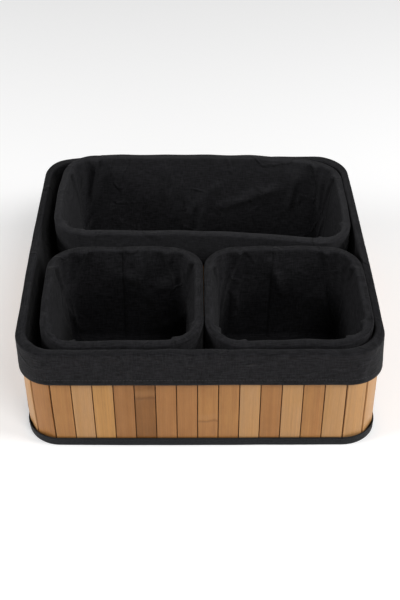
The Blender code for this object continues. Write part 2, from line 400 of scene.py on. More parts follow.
# %% Light the set
LIT = Vector((0, 0.1, 0.05))  # where the softboxes point
PALE_WALLS = 0.24
FLOOR_GLOW = 0.20
SOFTBOXES = (  # name, place, size, power in watts
    ("front", (0.8, -1.5, 2.1), (0.9, 0.7), 18.6),
    ("right", (1.9, -0.5, 1.1), (0.8, 0.6), 29),
    ("left", (-1.9, -0.5, 1.0), (0.8, 0.6), 25),
)


def add_softbox(name, place, size, power):
    light = bpy.data.lights.new(name, "AREA")
    light.shape = "RECTANGLE"
    light.size, light.size_y = size
    light.energy = power
    lamp = bpy.data.objects.new(name, light)
    lamp.location = place
    lamp.rotation_euler = (LIT - Vector(place)).to_track_quat("-Z", "Y").to_euler()
    bpy.context.scene.collection.objects.link(lamp)


for softbox in SOFTBOXES:
    add_softbox(*softbox)
world = bpy.data.worlds.new("studio")
bpy.context.scene.world = world
world.use_nodes = True
walls_light = world.node_tree.nodes["Background"].inputs
walls_light["Color"].default_value = (1, 1, 1, 1)
walls_light["Strength"].default_value = PALE_WALLS
bpy.context.scene.view_settings.view_transform = "Standard"
print("softboxes:", len(SOFTBOXES))


# %% Lay the floor
FLOOR_REACH = 6.0


def add_floor():
    mesh = bpy.data.meshes.new("floor")
    ways = ((-1, -1), (1, -1), (1, 1), (-1, 1))
    corners = [(x * FLOOR_REACH, y * FLOOR_REACH, 0) for x, y in ways]
    mesh.from_pydata(corners, [], [(0, 1, 2, 3)])
    paper = bpy.data.materials.new("pale_paper")
    paper.use_nodes = True
    shader = paper.node_tree.nodes["Principled BSDF"].inputs
    shader["Base Color"].default_value = (0.93, 0.93, 0.93, 1)
    shader["Roughness"].default_value = 0.9
    shader["Specular IOR Level"].default_value = 0.1
    shader["Emission Color"].default_value = (1, 1, 1, 1)
    shader["Emission Strength"].default_value = FLOOR_GLOW
    mesh.materials.append(paper)
    floor = bpy.data.objects.new("floor", mesh)
    bpy.context.scene.collection.objects.link(floor)


add_floor()
print("floor laid, with a glow of", FLOOR_GLOW)

# %% [markdown]
# ## The finishes
#
# **Bamboo.** Each slat is its own strip of cane, so its tone comes from an attribute
# that the mat carries, and its grain is noise stretched along the strip, shifted for
# every strip. A slat may hold a node of the cane: a thin dark line with a pale band.
# The varnish is a clear coat that thins where the strip is rough.
#
# **Cotton.** The liner is a plain weave of uneven, slubby yarn. The pattern follows
# the cloth's own UV map, which is measured in metres, so the yarn has its real size.
# Patches of fine crumples, where a band of noise crosses its middle value, stand up
# and are painted darker, as shade. Two attributes come from the cloth's making:
# `rubbed` is lighter where cloth is folded over an edge, and on the long liner it is
# also painted light, which lightens the upper walls as if they were more strongly lit.
# `shade` is painted shade, darker in seams and in the creases beside the pleats.
#
# **The rest.** The binding is a slanting twill, the gauze behind the slats an open
# weave glued down in brown, the board pressed chips, and the cloth under it felt with
# rows of dimples.

# %% Shared helpers for finishes
def start_finish(name, **constants):
    """A material with its bench and its main shader; constants go on its sockets."""
    material = bpy.data.materials.new(name)
    material.use_nodes = True
    shader = material.node_tree.nodes["Principled BSDF"]
    for socket, value in constants.items():
        shader.inputs[socket.replace("_", " ")].default_value = value
    return material, Bench(material.node_tree), shader


def attribute(bench, name):
    return bench.add("ShaderNodeAttribute", out="Fac", attribute_name=name)


def stretched_noise(bench, place, scale, detail=3.0, shift=0.0, roughness=0.55):
    """Noise whose grains are stretched by unequal scales along x, y and z."""
    spread = bench.vector("MULTIPLY", place, scale)
    values = {"Vector": spread, "W": shift, "Scale": 1.0, "Detail": detail}
    values["Roughness"] = roughness
    return bench.add("ShaderNodeTexNoise", values, noise_dimensions="4D")


def cover(bench, shader, color, roughness, height=None, depth=0.0):
    """Feeds what varies over a surface: colour, roughness, and bumps this deep."""
    bench.feed(shader.inputs["Base Color"], color)
    bench.feed(shader.inputs["Roughness"], roughness)
    if height is not None:
        values = {"Height": height, "Distance": depth, "Strength": 1.0}
        bench.feed(shader.inputs["Normal"], bench.add("ShaderNodeBump", values))


print("materials so far:", len(bpy.data.materials))


# %% Bamboo
CANE_DARK = (0.190, 0.072, 0.012)
CANE_BROWN = (0.340, 0.149, 0.044)
CANE_GOLD = (0.450, 0.225, 0.066)
CANE_TAN = (0.440, 0.240, 0.103)
KNOT_BROWN = (0.115, 0.048, 0.016)
KNOT_LINE = 0.0030  # half width of the dark line at a node of the cane
PALE_BAND = 0.006  # how far above it the pale band lies


def make_bamboo():
    constants = {"Coat_Roughness": 0.32, "Specular_IOR_Level": 0.22}
    material, bench, shader = start_finish("varnished_bamboo", **constants)
    place = bench.add("ShaderNodeTexCoord", out="Object")
    height = bench.add("ShaderNodeSeparateXYZ", [place], out="Z")
    tone = attribute(bench, "tone")
    grain = attribute(bench, "grain")
    knot = attribute(bench, "knot")
    broad = stretched_noise(bench, place, (170, 170, 7), 2.0, grain * 31)
    fibre = stretched_noise(bench, place, (900, 900, 11), 3.0, grain * 47)
    flecks = stretched_noise(bench, place, (2600, 2600, 160), 1.0, grain * 13)
    blotch = stretched_noise(bench, place, (60, 60, 42), 3.0, grain * 71)

    stops = [(0.0, CANE_DARK), (0.38, CANE_BROWN), (0.72, CANE_GOLD), (1.0, CANE_TAN)]
    shade = tone + (broad - 0.5) * 0.34 + (blotch - 0.5) * 0.26
    color = bench.add("ShaderNodeValToRGB", [shade], stops=stops)
    streak = (fibre - 0.5) * 0.5 + (flecks - 0.5) * 0.28 + 1.0
    gray = bench.add("ShaderNodeCombineColor", [streak, streak, streak])
    color = bench.mix(1.0, color, gray, "MULTIPLY")

    # The line wanders a little with the noise, as it does across a real strip.
    gap = height - knot + (blotch - 0.5) * 0.010 + (broad - 0.5) * 0.004
    ring = 1 - gap.absolute().fade(0.0, KNOT_LINE)
    above = 1 - (gap - PALE_BAND).absolute().fade(0.001, 0.0065)
    color = bench.mix(ring * 0.36, color, KNOT_BROWN)
    color = bench.mix(above * 0.18, color, CANE_TAN)
    roughness = 0.40 + (fibre - 0.5) * 0.35 + blotch * 0.1
    height = fibre * 0.6 + flecks * 0.4 + ring * 0.4
    cover(bench, shader, color, roughness, height, 0.00018)
    bench.feed(shader.inputs["Coat Weight"], 0.10 + (broad - 0.5) * 0.1)
    return material


bamboo = make_bamboo()
print("bamboo:", len(bamboo.node_tree.nodes), "nodes")


# %% Cotton
COTTON_THREADS = 0.00095  # from thread to thread
COTTON_BLACK = (0.0018, 0.0018, 0.0023)
COTTON_SOOT = (0.0175, 0.0170, 0.0194)
COTTON_WORN_AND_PAINTED_LIGHT = (0.048, 0.048, 0.052)
PAINTED_SHADE_BLACK = (0.001, 0.001, 0.0012)


def cloth_place(bench):
    return bench.add("ShaderNodeUVMap", uv_map="cloth")


def weave(bench, place, pitch, slant=0.0):
    """Height of a plain weave: threads over and under, a sine each way."""
    u = bench.add("ShaderNodeSeparateXYZ", [place], out="X")
    v = bench.add("ShaderNodeSeparateXYZ", [place], out="Y")
    if slant:
        u = u + v * slant
    turn = 2 * math.pi / pitch
    return (u * turn).sine() * (v * turn).sine() * 0.5 + 0.5


def make_cotton():
    constants = {"Sheen_Weight": 0.03, "Sheen_Roughness": 0.5, "Specular_IOR_Level": 0.12}
    material, bench, shader = start_finish("black_cotton", **constants)
    place = cloth_place(bench)
    weft = stretched_noise(bench, place, (110, 820, 1), 2.0)
    warp = stretched_noise(bench, place, (820, 130, 1), 2.0, 5.0)
    clouds = stretched_noise(bench, place, (38, 38, 1), 4.0, 9.0)
    lint = stretched_noise(bench, place, (430, 520, 1), 1.0, 3.0).fade(0.66, 0.78)
    rubbed = attribute(bench, "rubbed")
    yarn = weft * 0.55 + warp * 0.45
    stops = [(0.38, COTTON_BLACK), (0.64, COTTON_SOOT)]
    color = bench.add("ShaderNodeValToRGB", [yarn + (clouds - 0.5) * 0.14], stops=stops)
    # Rubbed cloth and lint are paler; `rubbed` also carries the long liner's painted
    # light.
    color = bench.mix(rubbed * 0.16 + lint * 0.17, color, COTTON_WORN_AND_PAINTED_LIGHT)
    crumple = stretched_noise(bench, place, (21, 17, 1), 1.5, 17.0) - 0.5
    crumple = 1 - crumple.absolute().fade(0.0, 0.030)
    crumple = crumple * clouds.fade(0.46, 0.60)
    shade = attribute(bench, "shade")
    # Painted shade: darker along the crumples, in seams and in the creases by the pleats.
    color = bench.mix(crumple * 0.22 + shade * 0.75, color, PAINTED_SHADE_BLACK)
    threads = weave(bench, place, COTTON_THREADS)
    height = threads * 0.12 + yarn * 0.3 + crumple
    cover(bench, shader, color, 0.82 + (warp - 0.5) * 0.2, height, 0.0011)
    return material


cotton = make_cotton()
print("cotton:", round(0.01 / COTTON_THREADS, 1), "threads to the centimetre")


# %% Tape
TAPE_THREADS = 0.0008
TAPE_BLACK = (0.0010, 0.0014, 0.0022)
TAPE_SOOT = (0.0100, 0.0115, 0.0140)
TAPE_RUBBED = (0.040, 0.040, 0.043)


def make_tape():
    constants = {"Sheen_Weight": 0.01, "Specular_IOR_Level": 0.16}
    material, bench, shader = start_finish("binding_twill", **constants)
    place = cloth_place(bench)
    threads = weave(bench, place, TAPE_THREADS, 1.0)
    wander = stretched_noise(bench, place, (380, 700, 1), 2.0)
    rubbed = attribute(bench, "rubbed")
    shade = threads * 0.3 + wander.fade(0.34, 0.66) * 0.7
    color = bench.mix(shade, TAPE_BLACK, TAPE_SOOT)
    color = bench.mix(rubbed * 0.15, color, TAPE_RUBBED)
    cover(bench, shader, color, 0.62 - threads * 0.14, threads + wander * 0.6, 0.00022)
    return material


twill = make_tape()
print("tape:", round(0.01 / TAPE_THREADS, 1), "threads to the centimetre")


# %% Thread
THREAD_BLACK = (0.006, 0.006, 0.007)
THREAD_SOOT = (0.018, 0.018, 0.020)


def make_thread():
    material, bench, shader = start_finish("sewing_thread", Specular_IOR_Level=0.5)
    place = bench.add("ShaderNodeTexCoord", out="Object")
    twist = stretched_noise(bench, place, (2500, 2500, 2500), 1.0)
    color = bench.mix(twist, THREAD_BLACK, THREAD_SOOT)
    cover(bench, shader, color, 0.5 + twist * 0.2)
    return material


thread = make_thread()
print("thread:", len(thread.node_tree.nodes), "nodes")


# %% Backing gauze
GAUZE_THREADS = 0.0016
GAUZE_GLUE = (0.060, 0.026, 0.010)
GAUZE_BROWN = (0.15, 0.070, 0.028)


def make_gauze():
    material, bench, shader = start_finish("backing_gauze", Sheen_Weight=0.1)
    place = cloth_place(bench)
    threads = weave(bench, place, GAUZE_THREADS)
    fuzz = stretched_noise(bench, place, (700, 700, 1), 2.0)
    color = bench.mix(threads * 0.6 + fuzz * 0.4, GAUZE_GLUE, GAUZE_BROWN)
    cover(bench, shader, color, 0.95 - fuzz * 0.1, threads, 0.0003)
    return material


gauze = make_gauze()
print("gauze:", round(0.01 / GAUZE_THREADS, 1), "threads to the centimetre")


# %% Base board
BOARD_DARK = (0.17, 0.105, 0.06)
BOARD_PALE = (0.42, 0.29, 0.18)


def make_board():
    material, bench, shader = start_finish("pressed_board", Specular_IOR_Level=0.3)
    place = bench.add("ShaderNodeTexCoord", out="Object")
    chips = stretched_noise(bench, place, (260, 420, 420), 3.0)
    dust = stretched_noise(bench, place, (1500, 1500, 1500), 2.0, 4.0)
    shade = chips * 0.7 + dust * 0.3
    color = bench.mix(shade, BOARD_DARK, BOARD_PALE)
    cover(bench, shader, color, 0.75 + dust * 0.2, shade, 0.0002)
    return material


board = make_board()
print("board:", len(board.node_tree.nodes), "nodes")


# %% Base cloth
DIMPLES = 0.0024  # from dimple to dimple in the felt
FELT_BLACK = (0.006, 0.006, 0.007)
FELT_SOOT = (0.034, 0.034, 0.037)


def make_base_cloth():
    """Black felted cloth with the rows of dimples that bond its fibres."""
    material, bench, shader = start_finish("base_felt", Specular_IOR_Level=0.2)
    place = bench.add("ShaderNodeTexCoord", out="Object")
    dimples = weave(bench, place, DIMPLES).fade(0.78, 0.95)
    fuzz = stretched_noise(bench, place, (900, 900, 900), 3.0)
    color = bench.mix(fuzz * 0.8 + dimples * 0.2, FELT_BLACK, FELT_SOOT)
    cover(bench, shader, color, 0.92 - dimples * 0.2, fuzz * 0.5 - dimples, 0.00025)
    return material


felt = make_base_cloth()
print("materials in the scene:", len(bpy.data.materials))

# %% [markdown]
# ## A tree that lays the slats
#
# The mat repeats one strip of cane round the ring, which is what Geometry Nodes are
# for. The source mesh is the mat's plan: a closed line whose every edge is the back
# of one slat. Each edge carries the slat's tone, grain and knot. The tree puts one
# strip on each edge, turns it along the edge, and stretches it to the edge's length.
# The strip is a small eased rectangle swept up a line of seven rows; afterwards the
# rows in between move to the knot, where they stand out as its ridge.

# %% Helpers for trees
def new_tree(name, sockets):
    """An empty Geometry Nodes tree with a geometry input and these named inputs."""
    tree = bpy.data.node_groups.new(name, "GeometryNodeTree")
    face = tree.interface
    face.new_socket("Geometry", in_out="OUTPUT", socket_type="NodeSocketGeometry")
    face.new_socket("Geometry", in_out="INPUT", socket_type="NodeSocketGeometry")
    for socket, (kind, value) in sockets.items():
        made = face.new_socket(socket, in_out="INPUT", socket_type="NodeSocket" + kind)
        if value is not None:
            made.default_value = value
    bench = Bench(tree)
    entry = tree.nodes.new("NodeGroupInput")
    wires = {s.name: Wire(bench, s) for s in entry.outputs if s.name}
    return tree, bench, wires


def close_tree(bench, geometry, material):
    """Realize the instances, set the material, and hand the geometry out."""
    real = bench.add("GeometryNodeRealizeInstances", [geometry])
    paint = {"Geometry": real, "Material": material}
    painted = bench.add("GeometryNodeSetMaterial", paint)
    exit_node = bench.tree.nodes.new("NodeGroupOutput")
    bench.feed(exit_node.inputs[0], painted)


def vector_of(bench, x=0.0, y=0.0, z=0.0):
    return bench.add("ShaderNodeCombineXYZ", [x, y, z])


def store(bench, geometry, name, value, kind):
    """Keeps a field's value on every edge, to be read again on the strips."""
    kept = {"Geometry": geometry, "Name": name, "Value": value}
    kinds = {"data_type": kind, "domain": "EDGE"}
    return bench.add("GeometryNodeStoreNamedAttribute", kept, **kinds)


def named_field(bench, name, kind="FLOAT"):
    return bench.add("GeometryNodeInputNamedAttribute", {"Name": name}, data_type=kind)


# %% Build the tree
ROWS = 7  # rows of points up a slat


def slat_tree():
    sizes = {
        "Thickness": ("Float", SLAT),
        "Pitch": ("Float", 0.02),
        "Groove": ("Float", 0.0009),
        "Easing": ("Float", 0.0005),
        "Height": ("Float", 0.12),
        "Knot Ridge": ("Float", 0.0002),
        "Knot Length": ("Float", 0.0016),
        "Material": ("Material", None),
    }
    tree, bench, wire = new_tree("bamboo_mat", sizes)
    ends = bench.tree.nodes.new("GeometryNodeInputMeshEdgeVertices")
    start, end = (Wire(bench, ends.outputs[f"Position {n}"]) for n in (1, 2))
    along = bench.vector("SUBTRACT", end, start)
    chord = bench.add("ShaderNodeVectorMath", [along], out="Value", operation="LENGTH")
    plan = store(bench, wire["Geometry"], "along", along, "FLOAT_VECTOR")
    plan = store(bench, plan, "chord", chord, "FLOAT")
    spots = bench.add("GeometryNodeMeshToPoints", [plan], mode="EDGES")

    size = {"Width": wire["Pitch"] - wire["Groove"], "Height": wire["Thickness"]}
    outline = bench.add("GeometryNodeCurvePrimitiveQuadrilateral", size)
    corner = {"Curve": outline, "Radius": wire["Easing"], "Count": 2}
    outline = bench.add("GeometryNodeFilletCurve", corner, mode="POLY")
    shift = vector_of(bench, y=wire["Thickness"] * -0.5)
    moved = {"Geometry": outline, "Translation": shift}
    outline = bench.add("GeometryNodeTransform", moved)
    top = vector_of(bench, z=wire["Height"])
    spine = bench.add("GeometryNodeCurvePrimitiveLine", {"End": top})
    spine = bench.add("GeometryNodeResampleCurve", {"Curve": spine, "Count": ROWS})
    swept = {"Curve": spine, "Profile Curve": outline, "Fill Caps": True}
    strip = bench.add("GeometryNodeCurveToMesh", swept)

    direction = named_field(bench, "along", "FLOAT_VECTOR")
    turned = bench.add(
        "FunctionNodeAlignRotationToVector",
        {"Vector": direction, "Factor": 1.0},
        axis="X",
        pivot_axis="Z",
    )
    stretch = vector_of(bench, named_field(bench, "chord") / wire["Pitch"], 1.0, 1.0)
    laid = {"Points": spots, "Instance": strip, "Rotation": turned, "Scale": stretch}
    mat = bench.add("GeometryNodeInstanceOnPoints", laid)
    mat = bench.add("GeometryNodeRealizeInstances", [mat])

    # All rows but the first and the last gather round the knot.
    place = bench.add("GeometryNodeInputPosition")
    z = bench.add("ShaderNodeSeparateXYZ", [place], out="Z")
    row = z / wire["Height"] * (ROWS - 1.0)
    offset = row.math("ROUND", row) - (ROWS - 1.0) / 2
    knot = named_field(bench, "knot_share") * wire["Height"]
    inner = offset.absolute() < 2.5
    gathered = (knot + offset * wire["Knot Length"] - z) * inner
    reach = 1 - offset.absolute() / 2
    bulge = reach.math("MAXIMUM", reach, 0.0) * wire["Knot Ridge"]
    bulge = bulge * named_field(bench, "knotted")
    heading = bench.vector("NORMALIZE", direction)
    outward = bench.vector("CROSS_PRODUCT", heading, (0.0, 0.0, 1.0))
    push = bench.add(
        "ShaderNodeVectorMath", {"Vector": outward, "Scale": bulge}, operation="SCALE"
    )
    push = bench.vector("ADD", push, vector_of(bench, z=gathered))
    mat = bench.add("GeometryNodeSetPosition", {"Geometry": mat, "Offset": push})
    close_tree(bench, mat, wire["Material"])
    return tree


mat_tree = slat_tree()
print("bamboo_mat:", len(mat_tree.nodes), "nodes")


# %% Run a tree on a source mesh
def run_tree(tree, source, name, **inputs):
    """Evaluates the tree on a source mesh or curve; the result is a plain mesh."""
    holder = bpy.data.objects.new(name + "_plan", source)
    bpy.context.scene.collection.objects.link(holder)
    modifier = holder.modifiers.new("tree", "NODES")
    modifier.node_group = tree
    for item in tree.interface.items_tree:
        key = item.name.replace(" ", "_").lower()
        if item.in_out == "INPUT" and key in inputs:
            modifier[item.identifier] = inputs[key]
    graph = bpy.context.evaluated_depsgraph_get()
    graph.update()
    mesh = bpy.data.meshes.new_from_object(
        holder.evaluated_get(graph), preserve_all_data_layers=True, depsgraph=graph
    )
    mesh.name = name
    bpy.data.objects.remove(holder)
    return mesh


def add_piece(name, mesh, body, material=None):
    if material:
        mesh.materials.clear()
        mesh.materials.append(material)
    piece = bpy.data.objects.new(name, mesh)
    bpy.context.scene.collection.objects.link(piece)
    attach(piece, body)
    return piece


# %% Move the points of a mesh
def mesh_points(mesh):
    flat = np.empty(len(mesh.vertices) * 3, np.float32)
    mesh.vertices.foreach_get("co", flat)
    return flat.reshape(-1, 3).astype(float)


def move_points(mesh, points):
    mesh.vertices.foreach_set("co", np.asarray(points, np.float32).ravel())
    mesh.update()


tray_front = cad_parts["tray_slats_front"].data
print("the packed front has", len(mesh_points(tray_front)), "points")


# %% [markdown]
# ## The bamboo mats
#
# The tones of the tray's front are listed, one word for each slat from left to right,
# and two of its slats hold a node of the cane. Everywhere else a seeded draw picks them.
# The ring is cut into a whole number of slats, and one groove lies 1.3 mm left of the
# middle of the front.

# %% Lay the slats of the four baskets
SLAT_PITCH = 0.020
GROOVE_SHIFT = -0.0013
TONES = dict(dark=0.08, dull=0.27, brown=0.36, warm=0.46, gold=0.72, tan=0.92)
FRONT_TONES = (
    "tan brown warm tan gold dull dark brown brown "
    "warm warm tan brown tan warm tan tan tan"
).split()
KNOTTED = 0.3  # share of the other slats that hold a node of the cane
FRONT_KNOTS = {6: 0.53, 9: 0.27}  # slat, and how far up it
FIRST_FRONT_SLAT = -9  # the leftmost of them, counted from the middle groove


def slat_facts(basket, count):
    """Tone, grain, knot height share and whether there is a knot, for every slat."""
    draw = Random("slats of " + basket.name)
    facts = []
    for number in range(count):
        tone = draw.choice(list(TONES.values())) + draw.uniform(-0.05, 0.05)
        knotted = draw.random() < KNOTTED
        share = draw.uniform(0.15, 0.85)
        facts.append([tone, draw.random(), share, float(knotted)])
    if basket.name == "tray":
        for place, word in enumerate(FRONT_TONES):
            fact = facts[(FIRST_FRONT_SLAT + place) % count]
            fact[0] = TONES[word]
            fact[2] = FRONT_KNOTS.get(place, 0.5)
            fact[3] = float(place in FRONT_KNOTS)
    return np.array(facts)


def slat_plan(basket):
    """The closed line that the slats' backs lie on, one edge for each slat."""
    back = replace(basket, half=basket.half - SLAT, corner=basket.corner - SLAT)
    around = ring_length(back, 0.0)
    count = round(around / SLAT_PITCH)
    pitch = around / count
    x, y, _, _ = ring_place(back, GROOVE_SHIFT + np.arange(count) * pitch, 0.0)
    mesh = bpy.data.meshes.new(basket.name + "_plan")
    low, high = basket.mat
    points = [(px, py, low) for px, py in zip(x, y)]
    mesh.from_pydata(points, [(i, (i + 1) % count) for i in range(count)], [])
    facts = slat_facts(basket, count)
    knot = low + facts[:, 2] * (high - low)
    knot = np.where(facts[:, 3] > 0, knot, -1.0)
    columns = {"tone": facts[:, 0], "grain": facts[:, 1], "knot_share": facts[:, 2]}
    columns |= {"knotted": facts[:, 3], "knot": knot}
    for name, values in columns.items():
        mesh.attributes.new(name, "FLOAT", "EDGE").data.foreach_set("value", values)
    return mesh, pitch


def add_mat(basket):
    plan, pitch = slat_plan(basket)
    height = basket.mat[1] - basket.mat[0]
    name = basket.name + "_slats"
    sizes = {"thickness": SLAT, "pitch": pitch, "height": height, "material": bamboo}
    mesh = run_tree(mat_tree, plan, name, **sizes)
    move_points(mesh, settle(basket, mesh_points(mesh)))
    piece = add_piece(name, mesh, basket.body)
    sides = ("front", "right", "back", "left")
    corners = ("front_right", "right_back", "back_left", "left_front")
    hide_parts(*(f"{basket.name}_slats_{side}" for side in sides + corners))
    print(f"{name}: {len(plan.edges)} slats, {len(mesh.polygons)} faces")
    return piece


for basket in baskets.values():
    add_mat(basket)

# %% [markdown]
# ## Sheets that run round a basket
#
# Liner walls, tapes and the backing cloth are all one band of cloth, folded to a
# profile and carried round the ring. Each is a grid of points: rows follow the
# profile, columns follow the ring. Building the grid by hand keeps the folds where
# they belong; small bends and creases are then added as numbers, and Solidify gives
# the cloth its thickness.

# %% Round and divide a profile
def smooth_profile(corners, rounding, step):
    """A run of (layer, height) corners with rounded bends, cut into even steps."""
    points = [np.array(c, float) for c in corners]
    path = [points[0]]
    for before, here, after in zip(points, points[1:], points[2:]):
        into, away = before - here, after - here
        room = min(np.linalg.norm(into), np.linalg.norm(away)) / 2
        cut = min(rounding, room)
        first = here + into / np.linalg.norm(into) * cut
        last = here + away / np.linalg.norm(away) * cut
        for share in np.linspace(0, 1, 5):
            rest = 1 - share
            path.append(rest**2 * first + 2 * share * rest * here + share**2 * last)
    path.append(points[-1])
    rows = [path[0]]
    for start, end in zip(path, path[1:]):
        length = np.linalg.norm(end - start)
        if length > 1e-7:
            pieces = max(1, math.ceil(length / step))
            rows += [start + (end - start) * k / pieces for k in range(1, pieces + 1)]
    return np.array(rows)


def run_of(rows):
    """Distance along a row of points, from its first."""
    steps = np.linalg.norm(np.diff(rows, axis=0), axis=1)
    return np.concatenate(([0.0], np.cumsum(steps)))


trial = smooth_profile([(0.0, 0.0), (0.0, 0.02), (0.01, 0.02)], 0.004, 0.002)
print(f"a folded trial strip: {len(trial)} rows, {run_of(trial)[-1] * 1000:.1f} mm")


# %% From a profile to a band, from a band to a mesh
BESIDE_SEAM = np.array((0.0, 0.0007, 0.0016))  # columns that shape the seam's dip
SEAM_CLEAR = 0.0022  # where the even columns start


@dataclass
class Band:
    """Cloth carried round a ring: its points, and each one's place on the flat cloth."""

    grid: np.ndarray
    outward: np.ndarray
    distance: np.ndarray  # round the ring, from the middle of the front
    around: np.ndarray  # round the ring, from the seam
    up: np.ndarray  # along the profile, from its first point
    length: float  # of the ring


def lay_band(basket, profile, step, seam, rule):
    """A plain band. The seam is a share of the ring, which is measured at one layer."""
    length = ring_length(basket, rule)
    even = np.linspace(0, length, round(length / step), endpoint=False)[1:-1]
    even = even[(even > SEAM_CLEAR) & (even < length - SEAM_CLEAR)]
    around = np.concatenate((BESIDE_SEAM, even, length - BESIDE_SEAM[:0:-1]))[None, :]
    distance = seam * length + around
    x, y, out_x, out_y = ring_place(basket, distance, profile[:, :1], rule)
    z = np.broadcast_to(profile[:, 1:], x.shape)
    outward = np.stack((out_x, out_y, np.zeros_like(out_x)), axis=-1)
    outward = np.broadcast_to(outward, (*x.shape, 3))
    grid = np.stack((x, y, z), axis=-1)
    return Band(grid, outward, distance, around, run_of(profile)[:, None], length)


def band_mesh(name, band, cut_from=0.0, **marks):
    """Quads closed round the ring, with their cloth UVs in metres from a place."""
    rows, columns = band.grid.shape[:2]
    below = np.arange(columns * (rows - 1)).reshape(rows - 1, columns)
    after = np.roll(below, -1, axis=1)
    quads = np.stack((below + columns, after + columns, after, below), axis=-1)
    mesh = bpy.data.meshes.new(name)
    mesh.from_pydata(band.grid.reshape(-1, 3).tolist(), [], quads.reshape(-1, 4).tolist())
    u = np.append(band.around[0], band.length) + cut_from
    sides = (u[:-1], u[1:], band.up[:-1], band.up[1:])
    left, right, low, high = (np.broadcast_to(side, below.shape) for side in sides)
    corners = ((left, high), (right, high), (right, low), (left, low))
    uv = np.stack([np.stack(c, axis=-1) for c in corners], axis=2)
    mesh.uv_layers.new(name="cloth").data.foreach_set("uv", uv.astype(np.float32).ravel())
    for mark, values in marks.items():
        values = np.broadcast_to(values, (rows, columns)).astype(np.float32).ravel()
        mesh.attributes.new(mark, "FLOAT", "POINT").data.foreach_set("value", values)
    mesh.shade_smooth()
    return mesh


def thicken(piece, thickness):
    """Gives a sheet its thickness, behind the face that was laid."""
    solidify = piece.modifiers.new("thickness", "SOLIDIFY")
    solidify.thickness = thickness
    solidify.offset = -1.0
    solidify.use_even_offset = False


trial = lay_band(tray, trial, 0.004, 0.0, 0.0)
print("carried round the tray:", trial.grid.shape[:2], "rows and columns")


# %% [markdown]
# ## Creases and folds
#
# Cloth that was folded flat in a shop keeps soft creases. They are written as heights
# over the cloth's own distances: waves that fit the ring a whole number of times, so
# that they close, and ridges along short slanting lines. A cloth only bulges towards
# where there is air, so heights are scaled by the room on each side of the basket.

# %% Waves and ridges
def gap_to(around, place, length):
    """How far each distance is past a place on a closed ring, the short way round."""
    return (around - place + length / 2) % length - length / 2


def waves(around, along, length, seed, shortest, count=9):
    """Seeded soft waves between -1 and 1 over the cloth, closed round the ring."""
    draw = Random(seed)
    most = max(2, int(length / shortest))
    total = np.zeros(np.broadcast_shapes(np.shape(around), np.shape(along)))
    for _ in range(count):
        turns = draw.randint(1, most)
        climb = draw.uniform(-1, 1) * 2 * math.pi / shortest * 0.7
        phase = draw.uniform(0, 2 * math.pi)
        turned = 2 * math.pi * turns * around / length
        total = total + np.sin(turned + climb * along + phase)
    return total / math.sqrt(2 * count)


def ridge(around, along, length, start, heading, reach, width):
    """A soft ridge, 1 high on its line and 0 a little way off it."""
    du = gap_to(around, start[0], length)
    dv = along - start[1]
    on = du * math.cos(heading) + dv * math.sin(heading)
    off = dv * math.cos(heading) - du * math.sin(heading)
    past = np.maximum(np.abs(on) - reach / 2, 0.0)
    return np.exp(-((off / width) ** 2) - (past / (2 * width)) ** 2)


def side_room(outward, rooms):
    """Blends the room given for right, back, left and front by where a wall faces."""
    facing = ((1, 0), (0, 1), (-1, 0), (0, -1))
    total = 0.0
    for (x, y), room in zip(facing, rooms):
        share = np.clip(outward[..., 0] * x + outward[..., 1] * y, 0, 1) ** 2
        total = total + share * room
    return total


crest = ridge(0.5, 0.0, 1.0, (0.5, 0.0), 0.0, 0.02, 0.004)
side = ridge(0.5, 0.008, 1.0, (0.5, 0.0), 0.0, 0.02, 0.004)
print(f"a ridge 4 mm wide: {crest:.2f} high on its line, {side:.2f} at 8 mm from it")


# %% [markdown]
# ## The liners
#
# A liner is a wall band sewn to a floor. The band goes up the inside of the basket,
# over the rim, and hangs down outside as the cuff. The rim is a soft round fold, not
# an edge. The inner baskets' liners are cut as tight boxes, so at their inside corners
# the spare cloth folds into pleats that are steep on one side.
#
# A cloth simulation could drop such a liner in, but here the basket decides nearly all
# of its shape. Moving the points by rule keeps the cloth off the bamboo, keeps its size
# as it was cut, and gives the same folds on every run.

# %% Sizes and habits of the liners
CLOTH_STEP = 0.0022
TRAY_STEP = CLOTH_STEP * 1.25
PLEAT = 0.0044  # how deep a fold beside a corner is
RIM_DIP = 0.0008  # how far a fold lowers the rim, which lies on the mat's top tape
RIM_SWAY = 0.0009
RIM_ROUND = 0.0024
HEM_SWAY = 0.0008
SEAM_DIP = 0.0007
SLACK_ENDS = 0.012  # the slack in a wall fades out this near its floor and its rim
# Painted light: how far each liner's wall is painted lighter towards its rim, as if
# more strongly lit. Only the long one is lightened.
PAINTED_LIGHT_AT_RIM = {"tray": 0.0, "long": 0.95, "left": 0.0, "right": 0.0}
# Air beside the cuffs, and beside the inside of the walls, towards the right, the
# back, the left and the front. Where two cloths touch there is hardly any.
CUFF_ROOM = {
    "tray": (0.0010, 0.0020, 0.0006, 0.0016),
    "long": (0.0002, 0.0003, 0.0012, 0.0018),
    "left": (0.0008, 0.0014, 0.0006, 0.0003),
    "right": (0.0002, 0.0014, 0.0006, 0.0003),
}
WALL_ROOM = {
    "tray": (0.0004, 0.0004, 0.0030, 0.0004),
    "long": (0.0040, 0.0050, 0.0040, 0.0030),
    "left": (0.0040, 0.0045, 0.0040, 0.0030),
    "right": (0.0040, 0.0045, 0.0040, 0.0030),
}
SEAM_AT = {"tray": 0.25, "long": 0.30, "left": 0.507, "right": 0.518}  # share of the ring
CREASES = {"tray": 10, "long": 26, "left": 18, "right": 18}
CUT_FROM = {"tray": 0.0, "long": 1.7, "left": 3.1, "right": 4.3}  # place on the cloth
print("creases in the walls:", sum(CREASES.values()))


# %% The wall's profile and corners
def box_layer(basket):
    """Where a liner's wall meets its floor. The tray's stands upright."""
    return basket.liner_layer - (0.0 if basket.name == "tray" else BOX_LEAN)


